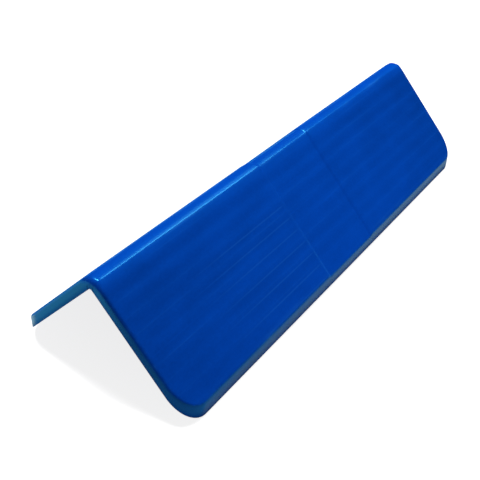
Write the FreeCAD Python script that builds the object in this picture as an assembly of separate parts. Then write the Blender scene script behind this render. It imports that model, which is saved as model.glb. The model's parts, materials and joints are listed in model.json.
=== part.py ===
"""Corner guard moulding: a ribbed plastic board, bent along its middle, that lies over the corner of a load.

It is moulded as one piece and stands as a tent on the feet of its two long rims. X runs across it, Y along
it and Z up. The origin is at floor level, midway between the feet and midway between the ends. The mould
opens along Z, so the rim and every rib stand upright. All sizes are in millimetres and degrees.
"""
import FreeCAD
import Part

import math
import os

# Overall form
LENGTH = 610.0
LEG_FACE = 156.5          # a leg's outer face, from where the two faces would meet to the rim
LEG_ANGLE = 87.0          # between the two legs
RIM_HEIGHT = 16.6         # the upright rim that runs all round
CORNER_RADIUS = 26.0      # the legs' corners, seen from above
EDGE_ROUND = 4.0          # the rim's upper edge
ROUND_EASE = 1.0          # how much rounder the crest's edges and the channel's lips are than the rim's edge
APEX_ROUND = 2.5          # the inside corner between the two load faces

# Gently crowned crest between the legs, with a soft shoulder on either side
CREST_WIDTH = 11.0
CROWN_RADIUS = 20.0
SHOULDER_RADIUS = 42.0
SHOULDER_TURN = 12.0      # in degrees, how far the shoulder turns before it runs into the leg

# Strap channel across both legs and the crest
CHANNEL_WIDTH = 101.6
CHANNEL_DEPTH = 1.3
CHANNEL_ROOT_ROUND = 2.5

# Walls on the load side
SKIN = 3.4
RIM_WALL = 3.5
RIB_WALL = 2.6
RIB_PITCH = 16.6          # measured down the leg
FIRST_RIB = 10.4          # from where the two outer faces would meet, measured down the leg

# Worked out from the sizes above
HALF_ANGLE = math.radians(LEG_ANGLE / 2)
SIN = math.sin(HALF_ANGLE)
COS = math.cos(HALF_ANGLE)
SLOPE = COS / SIN
HALF_WIDTH = LEG_FACE * SIN
HALF_LENGTH = LENGTH / 2
APEX_Z = RIM_HEIGHT + LEG_FACE * COS
LOAD_APEX_Z = APEX_Z - RIM_HEIGHT
CHANNEL_LIP_ROUND = EDGE_ROUND + ROUND_EASE
CREST_ROUND = EDGE_ROUND + ROUND_EASE
CROWN_TURN = math.asin(CREST_WIDTH / 2 / CROWN_RADIUS)
LEG_TURN = math.pi / 2 - HALF_ANGLE
SHOULDER_START = LEG_TURN - math.radians(SHOULDER_TURN)
CREST_ROUND_X = (CROWN_RADIUS - CREST_ROUND) * math.sin(CROWN_TURN)
SHOULDER_X = CREST_ROUND_X - (SHOULDER_RADIUS - CREST_ROUND) * math.sin(SHOULDER_START)
SHOULDER_Z = APEX_Z - (SHOULDER_RADIUS + SHOULDER_X * COS) / SIN
CREST_ROUND_Z = SHOULDER_Z + (SHOULDER_RADIUS - CREST_ROUND) * math.cos(SHOULDER_START)
CREST_EDGE_Z = CREST_ROUND_Z + CREST_ROUND * math.cos(CROWN_TURN)
CREST_Z = CREST_EDGE_Z + CROWN_RADIUS * (1 - math.cos(CROWN_TURN))
SPARE = APEX_Z            # how far the cutting shapes run past the part
TILT_TOLERANCE = 0.01     # an upright face's normal leans from level by less than this


def point(x, z, y=0.0):
    return FreeCAD.Vector(x, y, z)


def line(a, b):
    return Part.LineSegment(a, b).toShape()


def closed_face(points):
    return Part.Face(Part.makePolygon(points + points[:1]))


def rounded_corner(before, corner, after, radius):
    """Arc of the given radius that rounds a corner, with the two points where it leaves the straights."""
    to_before = (before - corner).normalize()
    to_after = (after - corner).normalize()
    half_turn = to_before.getAngle(to_after) / 2
    reach = radius / math.tan(half_turn)
    middle = (to_before + to_after).normalize()
    start = corner + to_before * reach
    end = corner + to_after * reach
    top = corner + middle * (radius / math.sin(half_turn) - radius)
    return start, Part.Arc(start, top, end).toShape(), end


def outer_path():
    """The outside of the section: leg, shoulder and rounded edge, crowned crest, and the same on the right."""
    def edge_point(side, turn):
        return point(side * (CREST_ROUND_X + CREST_ROUND * math.sin(turn)),
                     CREST_ROUND_Z + CREST_ROUND * math.cos(turn))

    def shoulder_point(side, turn):
        return point(side * (SHOULDER_X + SHOULDER_RADIUS * math.sin(turn)),
                     SHOULDER_Z + SHOULDER_RADIUS * math.cos(turn))

    def bend(place, side, start, end):
        return Part.Arc(place(side, start), place(side, (start + end) / 2), place(side, end)).toShape()

    def leg_and_edge(side):
        far_x = HALF_WIDTH + SPARE
        far = point(side * far_x, APEX_Z - far_x * SLOPE)
        return [
            line(far, shoulder_point(side, LEG_TURN)),
            bend(shoulder_point, side, LEG_TURN, SHOULDER_START),
            bend(edge_point, side, SHOULDER_START, CROWN_TURN),
        ]

    crown = Part.Arc(edge_point(-1, CROWN_TURN), point(0, CREST_Z), edge_point(1, CROWN_TURN)).toShape()
    return Part.Wire(Part.__sortEdges__(leg_and_edge(-1) + [crown] + leg_and_edge(1)))


def space_outside():
    """All that lies outside the two legs: the outer face's long section, with the channel's dip, carried round."""
    turn = math.acos(1 - CHANNEL_DEPTH / (CHANNEL_LIP_ROUND + CHANNEL_ROOT_ROUND))
    step = (CHANNEL_LIP_ROUND + CHANNEL_ROOT_ROUND) * math.sin(turn)
    floor_end = CHANNEL_WIDTH / 2 - step / 2
    lip_end = CHANNEL_WIDTH / 2 + step / 2
    far = HALF_LENGTH + SPARE

    path = outer_path()
    start = min((vertex.Point for vertex in path.Vertexes), key=lambda place: place.x)
    outwards = point(-COS, SIN)

    def at(y, height):
        return start + point(0, 0, y) + outwards * height

    def bend(side, angle):
        """Points on the channel's root and lip arcs, on one side of the channel."""
        root = at(side * (floor_end + CHANNEL_ROOT_ROUND * math.sin(angle)),
                  CHANNEL_ROOT_ROUND * (1 - math.cos(angle)) - CHANNEL_DEPTH)
        lip = at(side * (lip_end - CHANNEL_LIP_ROUND * math.sin(angle)),
                 CHANNEL_LIP_ROUND * (math.cos(angle) - 1))
        return root, lip

    def channel_side(side):
        """The straight face, the lip and the root on one side, from the far end inwards."""
        root_end, lip_start = bend(side, 0)
        root_middle, lip_middle = bend(side, turn / 2)
        joint, _ = bend(side, turn)
        return [
            line(at(side * far, 0), lip_start),
            Part.Arc(lip_start, lip_middle, joint).toShape(),
            Part.Arc(joint, root_middle, root_end).toShape(),
        ]

    outline = channel_side(-1) + channel_side(1) + [
        line(at(-floor_end, -CHANNEL_DEPTH), at(floor_end, -CHANNEL_DEPTH)),
        line(at(-far, 0), at(-far, SPARE)),
        line(at(-far, SPARE), at(far, SPARE)),
        line(at(far, SPARE), at(far, 0)),
    ]
    section = Part.Face(Part.Wire(Part.__sortEdges__(outline)))
    return path.makePipe(section)


def plan_block(inset):
    """Upright block with the guard's outline seen from above, set in by a wall."""
    half_x = HALF_WIDTH - inset
    half_y = HALF_LENGTH - inset
    block = Part.makeBox(2 * half_x, 2 * half_y, APEX_Z, point(-half_x, 0, -half_y))
    upright = [edge for edge in block.Edges if 1 - abs(edge.tangentAt(edge.FirstParameter).z) < TILT_TOLERANCE]
    return block.makeFillet(CORNER_RADIUS - inset, upright)


def along(section):
    """Section in the XZ plane carried past both ends of the guard."""
    section.translate(point(0, 0, -LENGTH))
    return section.extrude(point(0, 0, 2 * LENGTH))


def load_space():
    """The space under the two load faces, where the corner of the load goes."""
    low_z = -SPARE
    apex = point(0, LOAD_APEX_Z)
    left = point(-(LOAD_APEX_Z - low_z) / SLOPE, low_z)
    right = point((LOAD_APEX_Z - low_z) / SLOPE, low_z)
    into, arc, out = rounded_corner(left, apex, right, APEX_ROUND)
    return along(Part.Face(Part.Wire([line(left, into), arc, line(out, right), line(right, left)])))


def underside_z(x, depth):
    """Height of a surface that lies the given depth under the legs' faces, the shoulders and the crest."""
    reach = SHOULDER_RADIUS - depth
    across = abs(x) - SHOULDER_X
    if across > reach * COS:
        return APEX_Z - depth / SIN - abs(x) * SLOPE
    return min(CREST_EDGE_Z - depth, SHOULDER_Z + math.sqrt(reach ** 2 - across ** 2))


def underside_breaks(depth):
    """Where that surface leaves the crest, the middle of its shoulder, and where it runs into the leg."""
    reach = SHOULDER_RADIUS - depth
    crest_edge = SHOULDER_X + math.sqrt(reach ** 2 - (CREST_EDGE_Z - depth - SHOULDER_Z) ** 2)
    leg_start = SHOULDER_X + reach * COS
    return crest_edge, (crest_edge + leg_start) / 2, leg_start


def rib_places():
    """Distance of each rib's middle from the centre line, crest to rim, on one leg."""
    pitch = RIB_PITCH * SIN
    last = HALF_WIDTH - RIM_WALL - RIB_WALL
    count = int((last - FIRST_RIB * SIN) // pitch) + 1
    return [FIRST_RIB * SIN + pitch * number for number in range(count)]


def hollow_sections(depth):
    """Section of each hollow between neighbouring ribs, under a skin of the given depth."""
    walls = sorted(side * place for side in (-1, 1) for place in rib_places())
    starts = [-HALF_WIDTH] + [wall + RIB_WALL / 2 for wall in walls]
    ends = [wall - RIB_WALL / 2 for wall in walls] + [HALF_WIDTH]
    breaks = sorted(side * x for side in (-1, 1) for x in underside_breaks(depth))
    for start, end in zip(starts, ends):
        inside = [x for x in breaks if start < x < end]
        roof = [point(x, underside_z(x, depth)) for x in [start] + inside + [end]]
        yield closed_face([point(end, -SPARE), point(start, -SPARE)] + roof)


def hollows():
    """The space between the ribs, inside the rim, with a lower roof behind the strap channel."""
    behind_channel = Part.makeBox(2 * HALF_WIDTH, CHANNEL_WIDTH + 2 * SKIN, APEX_Z,
                                  point(-HALF_WIDTH, 0, -CHANNEL_WIDTH / 2 - SKIN))
    deep = [along(section).cut(behind_channel) for section in hollow_sections(SKIN)]
    shallow = [along(section) for section in hollow_sections(SKIN + CHANNEL_DEPTH)]
    inside = plan_block(RIM_WALL)
    return [inside.common(low.fuse(high)) for low, high in zip(shallow, deep)]


def rim_edges(body):
    """The rim's upper edge: where an upright side meets a face that looks up."""
    def upward(face):
        u_low, u_high, v_low, v_high = face.ParameterRange
        return face.normalAt((u_low + u_high) / 2, (v_low + v_high) / 2).z

    chosen = []
    for edge in body.Edges:
        lean = sorted(upward(face) for face in body.ancestorsOfType(edge, Part.Face))
        if abs(lean[0]) < TILT_TOLERANCE < lean[1]:
            chosen.append(edge)
    return chosen


def corner_guard():
    body = plan_block(0).cut([space_outside(), load_space()])
    body = body.makeFillet(EDGE_ROUND, rim_edges(body))
    return body.cut(hollows())


def main():
    guard = corner_guard()
    os.makedirs("parts", exist_ok=True)
    guard.Solids[0].exportStep("parts/corner_guard.step")
    box = guard.optimalBoundingBox(False)
    print("solids", len(guard.Solids), "valid", guard.isValid(), "volume cm3", round(guard.Volume / 1000, 1))
    print("size", round(box.XLength, 2), round(box.YLength, 2), round(box.ZLength, 2), "lowest", round(box.ZMin, 3))


if __name__ == "__main__":
    main()
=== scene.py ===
"""Looks of a corner guard moulding: a ribbed plastic board, bent along its middle, for a load's corner.

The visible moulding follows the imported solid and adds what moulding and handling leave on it: softened feet
and roots, faint sinks between the ribs, flow lines, scuffs and a satin skin. It is built as a skin with its
rim, to which Geometry Nodes join the ribs of the load side. Lengths are in metres and angles in radians.
"""
import json
import math

import bpy
import numpy as np
from bpy.props import FloatProperty, FloatVectorProperty, IntProperty, PointerProperty
from mathutils import Euler, Matrix, Vector


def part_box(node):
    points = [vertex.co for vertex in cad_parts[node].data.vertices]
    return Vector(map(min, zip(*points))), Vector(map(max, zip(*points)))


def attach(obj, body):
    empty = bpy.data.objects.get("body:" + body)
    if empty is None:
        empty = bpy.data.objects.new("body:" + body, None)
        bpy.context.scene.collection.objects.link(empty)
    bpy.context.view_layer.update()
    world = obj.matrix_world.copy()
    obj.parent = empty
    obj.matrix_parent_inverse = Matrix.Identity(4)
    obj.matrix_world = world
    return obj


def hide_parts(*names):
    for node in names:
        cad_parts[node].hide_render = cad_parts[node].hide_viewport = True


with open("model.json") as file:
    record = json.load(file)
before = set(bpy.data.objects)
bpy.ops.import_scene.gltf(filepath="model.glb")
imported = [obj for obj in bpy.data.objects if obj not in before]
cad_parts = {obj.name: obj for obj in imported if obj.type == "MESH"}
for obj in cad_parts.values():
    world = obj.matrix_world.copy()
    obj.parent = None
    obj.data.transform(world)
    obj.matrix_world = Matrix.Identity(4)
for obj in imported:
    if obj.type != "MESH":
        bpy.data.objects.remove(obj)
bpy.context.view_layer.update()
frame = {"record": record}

bl_info = {
    "name": "Corner guard moulding",
    "version": (1, 0, 0),
    "blender": (4, 5, 0),
    "location": "3D View > Sidebar > Guard",
    "description": "Builds a corner guard moulding with its plastic finish, and a stage to show it on",
    "category": "Object",
}

MM = 0.001
NODE = "corner_guard"
HALF_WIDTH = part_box(NODE)[1].x
HALF_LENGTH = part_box(NODE)[1].y
MOUNTS = {mount["name"]: mount for mount in frame["record"]["mounts"]}
COS, _, SIN = MOUNTS["strap_seat_right"]["axis"]
SLOPE = COS / SIN
LEG_TURN = math.atan2(COS, SIN)
LOAD_APEX = HALF_WIDTH * SLOPE

# Shares: of the skin over a rib's top, of the foot's round by which ribs stop short, of rubbing on a lip
RIB_TOP_DEPTH = 0.8
RIB_SHORT = 0.2
LIP_RUB = 0.05
# Shares of half the length towards -Y, between which the rub lines begin and between which they end
LINES_BEGIN = (0.16, 0.2)
LINES_END = (0.4, 0.8)
# Edges that turn further stay sharp, and a bend's sine counts as no less than the least
SMOOTH_ANGLE = math.radians(32)
LEAST_BEND = 1e-9

# Patterns in the plastic: lumps a metre along X, Y and Z, detail, and where each starts and ends to show
PATTERNS = {
    "mottle": ((34, 22, 34), 4, None),
    "flow": ((58, 3.5, 58), 2, None),
    "speckle": ((420, 260, 420), 2, None),
    "streaks": ((330, 6, 330), 3, (0.25, 0.6)),
    "hairline_breaks": ((70, 9, 70), 2, (-0.3, 0.5)),
    "rubbing": ((150, 16, 150), 2, (-0.1, 0.7)),
    "scuffs": ((900, 40, 900), 3, (0.35, 0.7)),
    "peel": ((110, 60, 110), 2, None),
    "grain": ((1300, 1300, 1300), 2, None),
}
# How much rougher the skin is where it is clouded, rubbed and scuffed
ROUGH_CLOUD = 0.3
ROUGH_RUBBED = 0.12
ROUGH_SCUFFS = 0.08
# Gloss: most of the tinted shine, then most and gain of the soft haze
GLOSS_MOST = 0.1
HAZE_MOST = 0.06
HAZE_GAIN = 0.7
# Clear shine on upright walls: the reflectance from which it starts, its gain and its most
CLEAR_FROM = 0.1
CLEAR_GAIN = 1.1
CLEAR_MOST = 0.16
# Upward parts of a normal between which a face stops being an upright wall, and gloss taken off the foot as
# painted shade
WALL_TURN = (0.15, 0.45)
FOOT_SHADE_GLOSS_LOSS = 0.6

# Place in metres, width and height in metres and power in watts of each lamp
SOFTBOXES = {
    "top_softbox": ((-0.36, -0.10, 1.88), (0.20, 0.75), 27.0),
    "back_softbox": ((0.24, 1.15, 1.75), (0.70, 0.90), 18.6),
    "low_softbox": ((0.22, 1.70, 1.50), (0.45, 0.24), 0.5),
    "wing_softbox": ((-0.36, 1.15, 1.75), (0.50, 0.90), 3.0),
}
LAMP_AIM = Vector((0.0, 0.0, 0.06))
WHITE = (1.0, 1.0, 1.0, 1.0)
# White surroundings in a gloss, as a share of what the eye sees
SKY_IN_GLOSS = 0.06
# Floor: half its side, its colour, its glow to the eye in the middle, and what that gains a metre
FLOOR_HALF = 8.0
FLOOR_WHITE = (0.45, 0.45, 0.45, 1.0)
FLOOR_GLOW = 0.72
FLOOR_GLOW_A_METRE = 0.45
# Share of that glow in a gloss at the right and at the left, and the X places between which it turns
# The weaker share at the right is painted shade, for a shadow on the floor on that side
GLOSS_RIGHT = 0.2
GLOSS_LEFT = 1.0
GLOSS_TURNS = (-0.13, 0.0)


def length(name, description, default):
    return FloatProperty(name=name, description=description, default=default, min=0.0, unit="LENGTH",
                         precision=5)


def angle(name, description, degrees):
    return FloatProperty(name=name, description=description, default=math.radians(degrees), unit="ROTATION")


def share(name, description, default):
    return FloatProperty(name=name, description=description, default=default, min=0.0, max=1.0,
                         subtype="FACTOR")


def colour(name, description, default):
    return FloatVectorProperty(name=name, description=description, default=default, size=4, min=0.0, max=1.0,
                               subtype="COLOR")


class GuardSizes(bpy.types.PropertyGroup):
    """Sizes of the moulding that the frame's box and mounts don't give."""
    rim_height: length("Rim height", "Upright rim that runs all round", 16.6 * MM)
    corner_radius: length("Corner radius", "Corners of the legs, seen from above", 26 * MM)
    edge_round: length("Edge round", "Upper edge of the rim", 4 * MM)
    crest_end_ease: length("Crest end ease", "How much rounder that edge is at the crest's -Y end", 2.6 * MM)
    crest_width: length("Crest width", "Crowned strip between the legs", 11 * MM)
    crown_radius: length("Crown radius", "Crown of the crest", 20 * MM)
    crest_round: length("Crest round", "Edges of the crest", 5 * MM)
    shoulder_radius: length("Shoulder radius", "Soft run from the crest's edges into the legs", 42 * MM)
    shoulder_turn: angle("Shoulder turn", "How far that run turns", 12)
    channel_width: length("Channel width", "Strap channel across both legs", 101.6 * MM)
    channel_ease: share("Channel ease", "How much wider the channel's sides are on the legs", 0.9)
    lip_round: length("Lip round", "Outer bend of the channel's sides", 5 * MM)
    channel_root: length("Channel root", "Inner bend of the channel's sides", 2.5 * MM)
    skin: length("Skin", "Thickness of the legs between the ribs", 3.4 * MM)
    rim_wall: length("Rim wall", "Thickness of the rim", 3.5 * MM)
    rib_wall: length("Rib wall", "Thickness of the ribs", 2.6 * MM)
    rib_pitch: length("Rib pitch", "From rib to rib, measured down the leg", 16.6 * MM)
    first_rib: length("First rib", "Down the leg, from the sharp meeting line of the legs", 10.4 * MM)
    rib_count: IntProperty(name="Ribs a leg", description="Ribs on each leg", default=9, min=1)
    root_round: length("Root round", "Where the skin meets the rim on the load side", 1.2 * MM)
    foot_round: length("Foot round", "Lower edges of the rim and the ribs", 0.25 * MM)
    apex_round: length("Apex round", "Inside corner between the load faces", 2.5 * MM)
    sink_depth: length("Sink depth", "Dips that cooling leaves on the outer face", 0.118 * MM)


class GuardFinish(bpy.types.PropertyGroup):
    """Finish of the plastic."""
    blue: colour("Blue", "Body of the plastic", (0.0005, 0.0605, 0.495, 1.0))
    rubbed_blue: colour("Rubbed blue", "Plastic where edges are rubbed", (0.012, 0.125, 0.60, 1.0))
    gloss_tint: colour("Gloss tint", "Colour of the gloss", (0.095, 0.67, 1.0, 1.0))
    refraction: FloatProperty(name="Refractive index", description="Strength of the gloss", default=1.48,
                              min=1.0)
    roughness: share("Roughness", "Satin of the skin", 0.18)
    clear_tint: colour("Clear tint", "Colour of the gloss on upright walls", (0.72, 0.95, 0.82, 1.0))
    haze_tint: colour("Haze tint", "Colour of the soft part of the gloss", (0.005, 0.5, 1.0, 1.0))
    haze: share("Haze", "How much rougher the soft part of the gloss is", 0.24)
    # Painted shade: the rim loses gloss up to this height above its foot, for the contact shadow it would
    # reflect
    foot_shade_reach: length("Foot shade", "How far up the rim its foot is scuffed", 8 * MM)
    flow: share("Flow marks", "Unevenness of the colour along the flow of the melt", 0.10)
    # Painted light and shade: the blue is made lighter towards the foot and darker towards the ends
    painted_light_down: share("Painted light down", "How much lighter the pigment is at the foot than at the crest", 0.15)
    painted_shade_out: share("Painted shade out", "How much darker the pigment is at the ends than at the middle", 0.17)
    streaks: share("Streaks", "Thin pale streaks along the flow", 0.08)
    speckle: share("Speckle", "Fine clouding of the pigment", 0.09)
    mottle: share("Mottle", "Cloudiness of the pigment", 0.15)
    hairline_height: length("Hairline height", "Fine lines along the legs, between the ribs", 0.05 * MM)
    hairline_width: length("Hairline width", "Half the width of a fine line", 1.35 * MM)
    hairline_rub: share("Hairline rub", "How far the hairlines are rubbed pale", 0.14)
    rub_line_start: length("First rub line", "Down the leg, as for the first rib", 61.2 * MM)
    rub_line_pitch: length("Rub line pitch", "From rub line to rub line", 15.5 * MM)
    line_rub: share("Line rub", "How far the rub lines are rubbed pale", 0.34)
    peel_height: length("Peel height", "Slow waviness of the moulded skin", 0.02 * MM)
    grain_height: length("Grain height", "Fine grain of the moulded skin", 0.002 * MM)
    rub_reach: length("Rub reach", "How far rubbing spreads from an edge", 5 * MM)


class GuardStage(bpy.types.PropertyGroup):
    """Camera, lamps and floor."""
    eye: FloatVectorProperty(name="Eye", description="Place of the camera", size=3, unit="LENGTH",
                             default=(0.39488, -0.65875, 0.54106))
    look_down: angle("Look down", "Tilt of the camera below level", 35.76)
    heading: angle("Heading", "Turn of the camera to the left of +Y", 33.95)
    roll: angle("Roll", "Turn of the camera about its own line of sight", 1.82)
    view_angle: angle("View angle", "Across the picture", 34.99)
    fill: share("Fill", "Brightness of the surroundings", 0.03)


def slerp(start, end, part):
    """Unit vectors the given part of the way round from start to end."""
    turn = np.arccos(np.clip(np.sum(start * end, axis=1, keepdims=True), -1, 1))
    bend = np.maximum(np.sin(turn), LEAST_BEND)
    return (np.sin((1 - part) * turn) * start + np.sin(part * turn) * end) / bend


class Form:
    """The moulding's faces, worked out from its sizes."""
    crown_steps = 4
    bend_steps = 8
    shoulder_steps = 6
    leg_steps_a_pitch = 8
    floor_step = 12 * MM
    corner_rows = 12
    edge_steps = 6
    foot_steps = 3

    def __init__(self, sizes):
        self.sizes = sizes
        self.apex = sizes.rim_height + LOAD_APEX
        seat = MOUNTS["strap_seat_right"]["pos_m"]
        self.dip = (self.apex - seat[2] - seat[0] * SLOPE) * SIN
        self.crown_turn = math.asin(sizes.crest_width / 2 / sizes.crown_radius)
        self.bend_x = (sizes.crown_radius - sizes.crest_round) * math.sin(self.crown_turn)
        self.shoulder_start = LEG_TURN - sizes.shoulder_turn
        ease = sizes.shoulder_radius - sizes.crest_round
        self.shoulder_x = self.bend_x - ease * math.sin(self.shoulder_start)
        self.shoulder_z = self.apex - (sizes.shoulder_radius + self.shoulder_x * COS) / SIN
        self.bend_z = self.shoulder_z + ease * math.cos(self.shoulder_start)
        self.crest_edge_z = self.bend_z + sizes.crest_round * math.cos(self.crown_turn)
        self.crown_z = self.bend_z - (sizes.crown_radius - sizes.crest_round) * math.cos(self.crown_turn)
        rounds = sizes.lip_round + sizes.channel_root
        self.side_turn = math.acos(1 - self.dip / rounds)
        self.side_reach = rounds * math.sin(self.side_turn)
        self.corner_x = HALF_WIDTH - sizes.corner_radius
        self.corner_y = HALF_LENGTH - sizes.corner_radius

    def crest(self):
        """Turn of the outer face from level, and its place, across the crest and its shoulders."""
        sizes = self.sizes
        arcs = [
            (0, self.crown_turn, self.crown_steps, sizes.crown_radius, 0, self.crown_z),
            (self.crown_turn, self.shoulder_start, self.bend_steps, sizes.crest_round,
             self.bend_x, self.bend_z),
            (self.shoulder_start, LEG_TURN, self.shoulder_steps, sizes.shoulder_radius,
             self.shoulder_x, self.shoulder_z),
        ]
        turns, x, z = [], [], []
        for start, end, steps, radius, core_x, core_z in arcs:
            turn = np.linspace(start, end, steps + 1)[1:]
            turns.append(turn)
            x.append(core_x + radius * np.sin(turn))
            z.append(core_z + radius * np.cos(turn))
        turns, x, z = np.concatenate(turns), np.concatenate(x), np.concatenate(z)
        return (np.concatenate([-turns[::-1], [0], turns]), np.concatenate([-x[::-1], [0], x]),
                np.concatenate([z[::-1], [self.crown_z + sizes.crown_radius], z]))

    def rows(self, inset):
        """Place along the guard, depth of the strap channel and lean of its side, from end to end."""
        sizes = self.sizes
        turn = self.side_turn
        floor_end = (sizes.channel_width - self.side_reach) / 2
        lip_end = (sizes.channel_width + self.side_reach) / 2
        root = np.linspace(0, turn, self.bend_steps // 2 + 1)
        lip = np.linspace(turn, 0, self.bend_steps + 1)[1:]
        plain_steps = round((self.corner_y - lip_end) / self.floor_step)
        plain = np.linspace(lip_end, self.corner_y, plain_steps + 1)[1:]
        corner = np.linspace(self.corner_y, HALF_LENGTH - inset, self.corner_rows)[1:]
        flat = np.linspace(0, floor_end, round(floor_end / self.floor_step) + 1)[:-1]
        places = np.concatenate([flat, floor_end + sizes.channel_root * np.sin(root),
                                 lip_end - sizes.lip_round * np.sin(lip), plain, corner])
        dips = np.concatenate([flat * 0 + self.dip, self.dip - sizes.channel_root * (1 - np.cos(root)),
                               sizes.lip_round * (1 - np.cos(lip)), plain * 0, corner * 0])
        leans = np.concatenate([flat * 0, root, lip, plain * 0, corner * 0])
        return (np.concatenate([-places[:0:-1], places]), np.concatenate([dips[:0:-1], dips]),
                np.concatenate([leans[:0:-1], -leans]))

    def face(self, wall, ball, depth, ease):
        """Grid over a face that lies the given depth under the outer one and ends in a bend of radius ball.

        The bend leads down into an upright wall that is set in from the rim's outside, and at the crest's
        end on the -Y side its radius is larger by the given ease. Returns where a ball of that radius has
        its middle as it rolls along the face, the face's direction there and the ball's radius."""
        inset = wall + ball
        places, dips, leans = self.rows(inset)
        crest_turns, crest_x, crest_z = self.crest()
        leg_start = crest_x[-1] - (ball + depth) * COS
        leg_end = HALF_WIDTH - inset
        leg_steps = round((leg_end - leg_start) / (self.sizes.rib_pitch * SIN) * self.leg_steps_a_pitch)
        leg = np.linspace(leg_start, leg_end, leg_steps + 1)[1:]
        turns = np.concatenate([leg * 0 - LEG_TURN, crest_turns, leg * 0 + LEG_TURN])[:, None]
        past_shoulder = np.clip((LEG_TURN - np.abs(turns)) / self.sizes.shoulder_turn, 0, 1)
        # The channel's sides are gentler on the legs than on the crest
        stretch = 1 + self.sizes.channel_ease * (1 - past_shoulder)
        border = np.sign(places) * self.sizes.channel_width / 2
        on_side = np.abs(places - border) < self.side_reach
        places = np.where(on_side, border + (places - border) * stretch, places)
        leans = np.arctan(np.tan(leans) / stretch)
        balls = ball + ease * past_shoulder * (places < 0)
        under = dips + (balls + depth) * np.cos(leans)
        x = np.concatenate([-leg[::-1], crest_x, leg])[:, None] + 0 * under
        on_crest = np.repeat([False, True, False], [len(leg), len(crest_x), len(leg)])[:, None]
        x = np.where(on_crest, x - np.sin(turns) * under, x)
        past_row = np.clip((np.abs(places) - self.corner_y) / (HALF_LENGTH - inset - self.corner_y), 0, 1)
        y = places + (balls + depth) * np.sin(-leans) - np.sign(places) * past_row * (balls - ball)
        past_x = np.abs(x) - self.corner_x
        past_y = np.abs(y) - self.corner_y
        far = np.maximum(past_x, past_y)
        ratio = np.minimum(past_x, past_y) / np.where(far > 0, far, 1)
        around = np.where(past_x >= past_y, ratio, 2 - ratio) * math.pi / 4
        in_corner = (past_x > 0) & (past_y > 0)
        x = np.where(in_corner, np.sign(x) * (self.corner_x + far * np.cos(around)), x)
        y = np.where(in_corner, np.sign(y) * (self.corner_y + far * np.sin(around)), y)
        full_crest_z = np.concatenate([leg * 0, crest_z, leg * 0])[:, None]
        leg_z = self.apex - np.abs(x) * SLOPE - under / SIN
        z = np.where(on_crest, full_crest_z - np.cos(turns) * under, leg_z)
        lean = leans + 0 * x
        facing = np.stack([np.sin(turns) * np.cos(lean), np.sin(lean), np.cos(turns) * np.cos(lean)], axis=2)
        return np.stack([x, y, z], axis=2), facing, balls[:, :, None]

    def outwards(self, rim):
        """Direction in which the rim faces, for points that run along it."""
        past = np.abs(rim[:, :2]) - (self.corner_x, self.corner_y)
        along_side = past[:, 0] > past[:, 1]
        straight = np.stack([along_side, ~along_side], axis=1).astype(float)
        turned = np.where(np.all(past > 0, axis=1)[:, None], past, straight)
        turned = np.sign(rim[:, :2]) * turned / np.linalg.norm(turned, axis=1, keepdims=True)
        return np.concatenate([turned, np.zeros((len(rim), 1))], axis=1)

    def foot(self, x, lift):
        """Height of the load faces above the floor, raised by a lift, and their direction."""
        bend = self.sizes.apex_round + lift
        core = LOAD_APEX - self.sizes.apex_round / SIN
        flat = np.abs(x) >= bend * COS
        up = np.sqrt(np.maximum(bend ** 2 - x ** 2, 0))
        z = np.where(flat, LOAD_APEX - np.abs(x) * SLOPE + lift / SIN, core + up)
        facing = np.stack([np.where(flat, -np.sign(x) * COS, -x / bend), 0 * x,
                           np.where(flat, -SIN, -up / bend)], axis=1)
        return z, facing

    def foot_edge(self, wall_points, outwards, inner):
        """Loops that round the lower edge of a wall into the load face."""
        size = self.sizes.foot_round
        core = wall_points - outwards * size
        core[:, 2], down = self.foot(core[:, 0], size)
        ends = (down, outwards) if inner else (outwards, down)
        return [core + size * slerp(*ends, step / self.foot_steps) for step in range(self.foot_steps + 1)]

    def sinks(self, face):
        """Shallow dips that run along the legs, fading towards the crest and the rim."""
        sizes = self.sizes
        down_leg = np.abs(face[:, :, 0]) / SIN
        wave = np.sin((down_leg - sizes.first_rib) / sizes.rib_pitch * 2 * math.pi)
        to_side = HALF_WIDTH - np.abs(face[:, :, 0])
        to_end = HALF_LENGTH - np.abs(face[:, :, 1])
        to_edge = np.minimum(np.minimum(to_side, to_end), down_leg)
        fade = np.clip((to_edge - sizes.rim_wall) / sizes.rib_pitch, 0, 1)
        return sizes.sink_depth * wave * fade ** 2 * (3 - 2 * fade)


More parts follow.
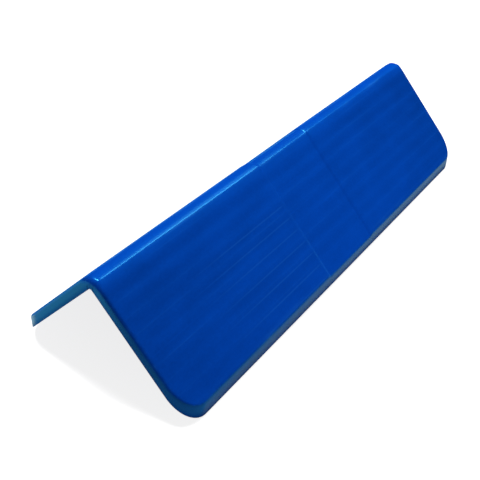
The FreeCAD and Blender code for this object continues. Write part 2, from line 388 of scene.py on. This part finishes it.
def skin_mesh(form):
    """Closed skin with its rim, as a mesh of quads: outer face, rim, feet and the roof inside."""
    sizes = form.sizes
    outer_core, outer_facing, outer_balls = form.face(0, sizes.edge_round, 0, sizes.crest_end_ease)
    roof_core, roof_facing, roof_balls = form.face(sizes.rim_wall, sizes.root_round, sizes.skin, 0)
    columns, rows, _ = outer_core.shape
    ring = ([(i, 0) for i in range(columns)] + [(columns - 1, j) for j in range(1, rows)]
            + [(i, rows - 1) for i in range(columns - 2, -1, -1)] + [(0, j) for j in range(rows - 2, 0, -1)])
    i, j = np.array(ring).T

    def bend_loops(core, facing, balls):
        outwards = form.outwards(core[i, j])
        loops = [core[i, j] + balls[i, j] * slerp(facing[i, j], outwards, step / form.edge_steps)
                 for step in range(form.edge_steps + 1)]
        return loops[1:], outwards

    outer = outer_core + outer_balls * outer_facing
    outer = outer - outer_facing * form.sinks(outer)[:, :, None]
    roof = roof_core + roof_balls * roof_facing
    outer_bend, outwards = bend_loops(outer_core, outer_facing, outer_balls)
    roof_bend, inwards = bend_loops(roof_core, roof_facing, roof_balls)
    loops = (outer_bend + form.foot_edge(outer_bend[-1], outwards, False)
             + form.foot_edge(roof_bend[-1], -inwards, True) + roof_bend[::-1])

    points = np.concatenate([outer.reshape(-1, 3), roof.reshape(-1, 3)] + loops)
    place = np.arange(columns * rows).reshape(columns, rows)
    quads = np.stack([place[:-1, :-1], place[1:, :-1], place[1:, 1:], place[:-1, 1:]], axis=2).reshape(-1, 4)
    first_loop = 2 * columns * rows
    rings = [place[i, j]]
    rings += [first_loop + number * len(ring) + np.arange(len(ring)) for number in range(len(loops))]
    rings += [columns * rows + place[i, j]]
    faces = [quads, quads[:, ::-1] + columns * rows]
    for above, below in zip(rings, rings[1:]):
        faces.append(np.stack([above, below, np.roll(below, -1), np.roll(above, -1)], axis=1))
    mesh = bpy.data.meshes.new("guard_moulding")
    mesh.from_pydata(points.tolist(), [], np.concatenate(faces).tolist())
    mesh.validate()
    return mesh


class Wire:
    """A node's output that takes part in Python arithmetic: each operation adds a Math node to the tree."""

    def __init__(self, tree, socket=None):
        self.tree = tree
        self.socket = socket

    def node(self, kind, settings=None, sockets=None, output=0):
        """Any other node: its settings first, then the values or links of its sockets."""
        made = self.tree.nodes.new(kind)
        for name, value in (settings or {}).items():
            setattr(made, name, value)
        for name, value in (sockets or {}).items():
            for wire in value if isinstance(value, list) else [value]:
                if isinstance(wire, Wire):
                    self.tree.links.new(wire.socket, made.inputs[name])
                else:
                    made.inputs[name].default_value = wire
        return Wire(self.tree, made.outputs[output]) if made.outputs else made

    def math(self, operation, *values):
        return self.node("ShaderNodeMath", {"operation": operation}, dict(enumerate(values)))

    def parts(self):
        """The three parts of a vector."""
        split = self.tree.nodes.new("ShaderNodeSeparateXYZ")
        self.tree.links.new(self.socket, split.inputs[0])
        return [Wire(self.tree, socket) for socket in split.outputs]

    def absolute(self):
        return self.math("ABSOLUTE", self)

    def least(self, other):
        return self.math("MINIMUM", self, other)

    def most(self, other):
        return self.math("MAXIMUM", self, other)

    def root(self):
        return self.math("SQRT", self)

    def pingpong(self, reach):
        return self.math("PINGPONG", self, reach)

    def rise(self, low, high):
        """Smooth rise from 0 at low to 1 at high."""
        return self.node("ShaderNodeMapRange", {"interpolation_type": "SMOOTHSTEP"},
                         {"Value": self, "From Min": low, "From Max": high})

    def fade(self, reach):
        """Smooth fall from 1 at 0 to 0 at the given reach."""
        return 1 - self.rise(0.0, reach)

    def __add__(self, other):
        return self.math("ADD", self, other)

    def __sub__(self, other):
        return self.math("SUBTRACT", self, other)

    def __rsub__(self, other):
        return self.math("SUBTRACT", other, self)

    def __mul__(self, other):
        return self.math("MULTIPLY", self, other)

    def __truediv__(self, other):
        return self.math("DIVIDE", self, other)

    __radd__ = __add__


def rib_tree(form, material):
    """Geometry Nodes that join the ribs of both legs to the skin."""
    sizes = form.sizes
    tree = bpy.data.node_groups.new("Load side ribs", "GeometryNodeTree")
    tree.is_modifier = True
    tree.interface.new_socket("Skin", in_out="INPUT", socket_type="NodeSocketGeometry")
    height = form.apex - LOAD_APEX - sizes.skin / SIN * RIB_TOP_DEPTH
    values = {
        "First rib": sizes.first_rib,
        "Pitch": sizes.rib_pitch,
        "Count": sizes.rib_count,
        "Wall": sizes.rib_wall,
        "Height": height,
        "Foot round": sizes.foot_round,
        "Corner start": form.corner_x,
        "Corner middle": form.corner_y,
        "Corner radius": sizes.corner_radius - sizes.rim_wall / 2,
    }
    for name, value in values.items():
        kind = "NodeSocketInt" if isinstance(value, int) else "NodeSocketFloat"
        tree.interface.new_socket(name, in_out="INPUT", socket_type=kind).default_value = value
    plastic = tree.interface.new_socket("Plastic", in_out="INPUT", socket_type="NodeSocketMaterial")
    plastic.default_value = material
    tree.interface.new_socket("Moulding", in_out="OUTPUT", socket_type="NodeSocketGeometry")

    start = Wire(tree)
    entry = tree.nodes.new("NodeGroupInput")
    given = {socket.name: Wire(tree, socket) for socket in entry.outputs if socket.name}

    def vector(x, y, z):
        return start.node("ShaderNodeCombineXYZ", None, {0: x, 1: y, 2: z})

    half = given["Wall"] / 2
    rise = half * SLOPE
    foot = [(half, rise), (half * -1, rise * -1)]
    top = [(half * -1, given["Height"] * -1 - rise), (half, rise - given["Height"])]
    corners = {f"Point {number}": vector(x, z, 0.0) for number, (x, z) in enumerate(foot + top, start=1)}
    outline = start.node("GeometryNodeCurvePrimitiveQuadrilateral", {"mode": "POINTS"}, corners)
    at_foot = start.node("FunctionNodeCompare", {"data_type": "INT", "operation": "LESS_THAN"},
                         {"A": start.node("GeometryNodeInputIndex"), "B": len(foot)})
    outline = start.node("GeometryNodeFilletCurve", {"mode": "POLY"}, {
        "Curve": outline, "Count": form.foot_steps, "Radius": given["Foot round"] * at_foot})
    along = start.node("GeometryNodeCurvePrimitiveLine", None, {"Start": (0, -1, 0), "End": (0, 1, 0)})
    rib = start.node("GeometryNodeCurveToMesh", None,
                     {"Curve": along, "Profile Curve": outline, "Fill Caps": True})

    first_x = given["First rib"] * SIN
    seated = LOAD_APEX - first_x * SLOPE + sizes.foot_round * RIB_SHORT
    spots = start.node("GeometryNodeMeshLine", {"mode": "OFFSET"}, {
        "Count": given["Count"], "Start Location": vector(first_x, 0.0, seated),
        "Offset": vector(given["Pitch"] * SIN, 0.0, given["Pitch"] * -COS)})
    spot_x = start.node("ShaderNodeSeparateXYZ", None, {0: start.node("GeometryNodeInputPosition")})
    past = (spot_x - given["Corner start"]).most(0.0)
    reach = given["Corner middle"] + (given["Corner radius"] * given["Corner radius"] - past * past).root()
    placed = start.node("GeometryNodeInstanceOnPoints", None,
                        {"Points": spots, "Instance": rib, "Scale": vector(1.0, reach, 1.0)})
    right = start.node("GeometryNodeRealizeInstances", None, {"Geometry": placed})
    left = start.node("GeometryNodeTransform", None, {"Geometry": right, "Rotation": Euler((0, 0, math.pi))})
    joined = start.node("GeometryNodeMeshBoolean", {"operation": "UNION", "solver": "MANIFOLD"},
                        {"Mesh 2": [given["Skin"], right, left]})
    whole = start.node("GeometryNodeRealizeInstances", None, {"Geometry": joined})
    dressed = start.node("GeometryNodeSetMaterial", None, {"Geometry": whole, "Material": given["Plastic"]})
    start.node("NodeGroupOutput", None, {"Moulding": dressed})
    return tree


def blue_plastic(form, finish):
    """Satin polyethylene: flow marks, clouded pigment, hairlines, grain, rubbed edges and painted light and
    shade.
    """
    sizes = form.sizes
    material = bpy.data.materials.new("blue_plastic")
    material.use_nodes = True
    tree = material.node_tree
    tree.nodes.clear()
    start = Wire(tree)
    place = start.node("ShaderNodeTexCoord", output="Object")
    x, y, z = place.parts()
    across = x.absolute()
    down_leg = across / SIN
    on_leg = across.rise(form.bend_x, form.bend_x + sizes.rib_pitch)
    off_wall = start.node("ShaderNodeTexCoord", output="Normal").parts()[2].absolute().rise(*WALL_TURN)
    under_face = (form.apex - across * SLOPE - z).absolute()

    def pattern(name):
        """Noise from -1 to 1, or from 0 to 1 for a pattern that shows in places."""
        lumps, detail, shows = PATTERNS[name]
        spot = start.node("ShaderNodeMapping", None, {"Vector": place, "Scale": lumps})
        noise = start.node("ShaderNodeTexNoise", None, {"Vector": spot, "Scale": 1.0, "Detail": detail})
        noise = noise * 2 - 1
        return noise.rise(*shows) if shows else noise

    def lines(first, spacing):
        """Fine lines along the legs, spaced from the place of the first one down the leg."""
        to_line = ((down_leg - first) / spacing).pingpong(0.5) * spacing
        return to_line.fade(finish.hairline_width) * off_wall

    # Hairlines lie halfway between the ribs, and rub lines low on the +X leg, on the channel's -Y side
    hairline = lines(sizes.first_rib + sizes.rib_pitch / 2, sizes.rib_pitch) * pattern("hairline_breaks")
    outwards = y / -HALF_LENGTH
    low = (x / SIN).rise(finish.rub_line_start - finish.rub_line_pitch / 2, finish.rub_line_start)
    worn = low * under_face.fade(sizes.skin) * outwards.rise(*LINES_BEGIN) * (1 - outwards.rise(*LINES_END))
    rub_line = lines(finish.rub_line_start, finish.rub_line_pitch) * worn

    # Rubbing on the crest's edges, the rim's upper edge, the channel's lips and the lines
    to_rim = (HALF_WIDTH - across).least(HALF_LENGTH - y.absolute())
    to_crest = (across - form.bend_x - sizes.crest_round / 2).absolute() + (form.crest_edge_z - z).absolute()
    to_lip = (y.absolute() - sizes.channel_width / 2).absolute()
    edge = (to_rim + under_face).fade(finish.rub_reach)
    edge = edge.most(to_crest.fade(finish.rub_reach)).most(to_lip.fade(finish.rub_reach) * LIP_RUB)
    on_lines = (hairline * finish.hairline_rub).most(rub_line * finish.line_rub)
    rubbed = (edge * pattern("rubbing")).most(on_lines)

    # Pigment: cloudy, drawn out along the flow; painted light down the legs and painted shade towards the
    # ends
    cloud = pattern("mottle") * finish.mottle + pattern("flow") * finish.flow
    cloud = cloud + pattern("speckle") * finish.speckle + pattern("streaks") * finish.streaks
    down = (across / HALF_WIDTH - 0.5) * finish.painted_light_down
    painted_light_and_shade = (down - outwards * outwards * finish.painted_shade_out) * on_leg
    body = start.node("ShaderNodeHueSaturation", None,
                      {"Value": cloud + painted_light_and_shade + 1, "Color": tuple(finish.blue)})
    skin_colour = start.node("ShaderNodeMix", {"data_type": "RGBA"},
                             {"Factor": rubbed, "A": body, "B": tuple(finish.rubbed_blue)}, output=2)

    # The crest is worn smooth
    roughness = (finish.roughness + cloud * on_leg * ROUGH_CLOUD + rubbed * ROUGH_RUBBED
                 + pattern("scuffs") * ROUGH_SCUFFS)
    height = (hairline * finish.hairline_height + pattern("peel") * finish.peel_height
              + pattern("grain") * finish.grain_height) * on_leg
    facing = start.node("ShaderNodeBump", None, {"Height": height, "Distance": 1.0, "Strength": 1.0})
    plastic = start.node("ShaderNodeBsdfPrincipled", None, {
        "Base Color": skin_colour, "Roughness": roughness, "Specular IOR Level": 0.0, "Normal": facing})

    # Gloss in three layers: a soft haze, a tinted shine, and a clear one at a glance on upright walls
    mirror = start.node("ShaderNodeFresnel", None, {"IOR": finish.refraction, "Normal": facing})
    above_load = z - LOAD_APEX + across * SLOPE
    # Painted shade: less gloss low on the rim, in place of the contact shadow it would reflect there
    outside_foot_shade = 1 - above_load.fade(finish.foot_shade_reach) * FOOT_SHADE_GLOSS_LOSS
    at_a_glance = ((mirror - CLEAR_FROM) * CLEAR_GAIN).most(0.0).least(CLEAR_MOST)
    layers = [
        (tuple(finish.haze_tint), roughness + finish.haze, mirror.least(HAZE_MOST) * HAZE_GAIN),
        (tuple(finish.gloss_tint), roughness, mirror.least(GLOSS_MOST) * outside_foot_shade),
        (tuple(finish.clear_tint), roughness, at_a_glance * outside_foot_shade * (1 - off_wall)),
    ]
    surface = plastic
    for shade, satin, amount in layers:
        gloss = start.node("ShaderNodeBsdfGlossy", None,
                           {"Color": shade, "Roughness": satin, "Normal": facing})
        surface = start.node("ShaderNodeMixShader", None, {0: amount, 1: surface, 2: gloss})
    start.node("ShaderNodeOutputMaterial", None, {"Surface": surface})
    return material


class GUARD_OT_moulding(bpy.types.Operator):
    """Build the moulding: skin, rim and ribs in one piece, with its plastic"""
    bl_idname = "guard.moulding"
    bl_label = "Moulding"

    def execute(self, context):
        form = Form(context.scene.guard_sizes)
        material = blue_plastic(form, context.scene.guard_finish)
        skin = bpy.data.objects.new("guard_skin", skin_mesh(form))
        context.scene.collection.objects.link(skin)
        ribs = skin.modifiers.new("Ribs", "NODES")
        ribs.node_group = rib_tree(form, material)
        depsgraph = context.evaluated_depsgraph_get()
        mesh = bpy.data.meshes.new_from_object(skin.evaluated_get(depsgraph))
        bpy.data.objects.remove(skin)
        mesh.name = "guard_moulding"
        if len(mesh.polygons) == 0:
            raise RuntimeError("the ribs could not be joined to the skin")
        mesh.polygons.foreach_set("use_smooth", [True] * len(mesh.polygons))
        mesh.set_sharp_from_angle(angle=SMOOTH_ANGLE)
        piece = bpy.data.objects.new("guard_moulding", mesh)
        context.scene.collection.objects.link(piece)
        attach(piece, "root")
        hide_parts(NODE)
        return {"FINISHED"}


def to_the_eye(start, in_gloss):
    """1 for what the camera sees itself or through glass, a share in a gloss, and 0 for other light."""
    direct = start.node("ShaderNodeLightPath", output="Is Camera Ray")
    through = start.node("ShaderNodeLightPath", output="Is Transmission Ray")
    mirrored = start.node("ShaderNodeLightPath", output="Is Glossy Ray") * in_gloss
    return direct.most(through).most(mirrored)


def floor_material():
    """White floor that keeps the shadow. To the eye it glows, more so further out, where lamps fall off."""
    material = bpy.data.materials.new("studio_floor")
    material.use_nodes = True
    material.node_tree.nodes.clear()
    start = Wire(material.node_tree)
    place = start.node("ShaderNodeTexCoord", output="Object")
    distance = start.node("ShaderNodeVectorMath", {"operation": "LENGTH"}, {0: place}, output="Value")
    lift = (distance * FLOOR_GLOW_A_METRE + FLOOR_GLOW).least(1.0)
    # Painted shade: in a gloss the floor glows less on the +X side, as if in shadow there
    at_left = 1 - place.parts()[0].rise(*GLOSS_TURNS)
    in_gloss = at_left * (GLOSS_LEFT - GLOSS_RIGHT) + GLOSS_RIGHT
    matt = start.node("ShaderNodeBsdfDiffuse", None, {"Color": FLOOR_WHITE})
    glow = start.node("ShaderNodeEmission", None, {"Strength": to_the_eye(start, in_gloss) * lift})
    both = start.node("ShaderNodeAddShader", None, {0: matt, 1: glow})
    start.node("ShaderNodeOutputMaterial", None, {"Surface": both})
    return material


def surroundings(world, fill):
    """Dim, even surroundings that are white to the eye and faint in a gloss."""
    world.use_nodes = True
    world.node_tree.nodes.clear()
    start = Wire(world.node_tree)
    strength = to_the_eye(start, SKY_IN_GLOSS).most(fill)
    sky = start.node("ShaderNodeBackground", None, {"Color": WHITE, "Strength": strength})
    start.node("ShaderNodeOutputWorld", None, {"Surface": sky})


class GUARD_OT_stage(bpy.types.Operator):
    """Set the floor, the lamps and the camera"""
    bl_idname = "guard.stage"
    bl_label = "Stage"

    def execute(self, context):
        scene = context.scene
        stage = scene.guard_stage
        corners = [(-1, -1), (1, -1), (1, 1), (-1, 1)]
        mesh = bpy.data.meshes.new("studio_floor")
        mesh.from_pydata([(FLOOR_HALF * x, FLOOR_HALF * y, 0.0) for x, y in corners], [], [(0, 1, 2, 3)])
        mesh.materials.append(floor_material())
        floor = bpy.data.objects.new("studio_floor", mesh)
        scene.collection.objects.link(floor)

        world = bpy.data.worlds.new("Studio")
        scene.world = world
        surroundings(world, stage.fill)

        for name, (place, size, power) in SOFTBOXES.items():
            lamp = bpy.data.lights.new(name, "AREA")
            lamp.shape = "RECTANGLE"
            lamp.size, lamp.size_y = size
            lamp.energy = power
            softbox = bpy.data.objects.new(name, lamp)
            softbox.location = place
            softbox.rotation_euler = (LAMP_AIM - softbox.location).to_track_quat("-Z", "Y").to_euler()
            scene.collection.objects.link(softbox)

        camera_data = bpy.data.cameras.new("camera")
        camera_data.sensor_fit = "HORIZONTAL"
        camera_data.angle = stage.view_angle
        camera = bpy.data.objects.new("camera", camera_data)
        facing = Euler((math.pi / 2 - stage.look_down, 0, stage.heading)).to_matrix()
        camera.rotation_euler = (facing @ Matrix.Rotation(stage.roll, 3, "Z")).to_euler()
        camera.location = stage.eye
        scene.collection.objects.link(camera)
        scene.camera = camera
        scene.view_settings.view_transform = "Standard"
        return {"FINISHED"}


class GUARD_PT_panel(bpy.types.Panel):
    """Sizes, finish and stage of the corner guard"""
    bl_idname = "GUARD_PT_panel"
    bl_label = "Corner guard"
    bl_space_type = "VIEW_3D"
    bl_region_type = "UI"
    bl_category = "Guard"

    def draw(self, context):
        for operator, group in ((GUARD_OT_moulding, "guard_sizes"), (None, "guard_finish"),
                                (GUARD_OT_stage, "guard_stage")):
            box = self.layout.box()
            if operator:
                box.operator(operator.bl_idname)
            values = getattr(context.scene, group)
            for name in values.__annotations__:
                box.prop(values, name)


GROUPS = {"guard_sizes": GuardSizes, "guard_finish": GuardFinish, "guard_stage": GuardStage}
CLASSES = (*GROUPS.values(), GUARD_OT_moulding, GUARD_OT_stage, GUARD_PT_panel)


def register():
    for made in CLASSES:
        bpy.utils.register_class(made)
    for name, group in GROUPS.items():
        setattr(bpy.types.Scene, name, PointerProperty(type=group))


def unregister():
    for name in GROUPS:
        delattr(bpy.types.Scene, name)
    for made in reversed(CLASSES):
        bpy.utils.unregister_class(made)


def main():
    register()
    bpy.ops.guard.moulding()
    bpy.ops.guard.stage()


if __name__ == "__main__":
    main()
